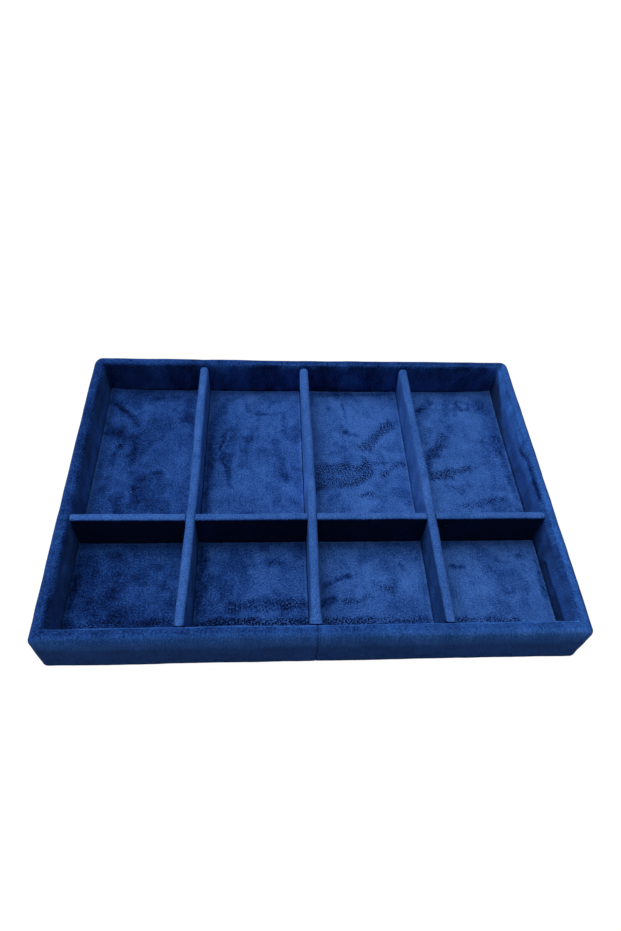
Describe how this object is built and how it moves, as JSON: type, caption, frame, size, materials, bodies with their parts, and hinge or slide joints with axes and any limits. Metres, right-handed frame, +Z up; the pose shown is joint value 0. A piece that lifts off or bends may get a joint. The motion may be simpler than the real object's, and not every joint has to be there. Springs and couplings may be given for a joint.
{
  "type": "drawer jewelry organizer",
  "caption": "Shallow velvet-covered tray for a drawer, split into square and oblong compartments by a half-lapped grid of padded dividers that drops in and lifts out.",
  "frame": {"origin": "middle of the tray's footprint, on the surface that the felt underside rests on", "axes": "+X to the right along the tray's width, +Y to the back away from the short front compartments, +Z up"},
  "size_m": [0.35, 0.25, 0.038],
  "materials": {
    "wall_velvet": "short-pile velvet, royal blue",
    "divider_velvet": "short-pile velvet, royal blue",
    "floor_velvet": "short-pile velvet, royal blue, brushed marks",
    "mdf": "raw fibreboard",
    "card": "grey board",
    "felt": "dark felt"
  },
  "bodies": {
    "tray": {"base_board": "mdf", "wall_front_board": "mdf", "wall_back_board": "mdf", "wall_left_board": "mdf", "wall_right_board": "mdf", "wall_wrap": "wall_velvet", "underside_felt": "felt", "floor_pad_card_back_1": "card", "floor_pad_cover_back_1": "floor_velvet", "floor_pad_card_back_2": "card", "floor_pad_cover_back_2": "floor_velvet", "floor_pad_card_back_3": "card", "floor_pad_cover_back_3": "floor_velvet", "floor_pad_card_back_4": "card", "floor_pad_cover_back_4": "floor_velvet", "floor_pad_card_front_1": "card", "floor_pad_cover_front_1": "floor_velvet", "floor_pad_card_front_2": "card", "floor_pad_cover_front_2": "floor_velvet", "floor_pad_card_front_3": "card", "floor_pad_cover_front_3": "floor_velvet", "floor_pad_card_front_4": "card", "floor_pad_cover_front_4": "floor_velvet"},
    "cross_divider": {"cross_divider_board": "mdf", "cross_divider_sleeve": "divider_velvet"},
    "long_divider_left": {"long_divider_board_left": "mdf", "long_divider_sleeve_left": "divider_velvet"},
    "long_divider_middle": {"long_divider_board_middle": "mdf", "long_divider_sleeve_middle": "divider_velvet"},
    "long_divider_right": {"long_divider_board_right": "mdf", "long_divider_sleeve_right": "divider_velvet"}
  },
  "joints": [
    {"name": "grid_lift", "type": "slide", "parent": "tray", "child": "cross_divider", "axis": [0, 0, 1], "range_m": [0, 0.04]},
    {"name": "left_divider_lift", "type": "slide", "parent": "cross_divider", "child": "long_divider_left", "axis": [0, 0, 1], "range_m": [0, 0.04]},
    {"name": "middle_divider_lift", "type": "slide", "parent": "cross_divider", "child": "long_divider_middle", "axis": [0, 0, 1], "range_m": [0, 0.04]},
    {"name": "right_divider_lift", "type": "slide", "parent": "cross_divider", "child": "long_divider_right", "axis": [0, 0, 1], "range_m": [0, 0.04]}
  ]
}
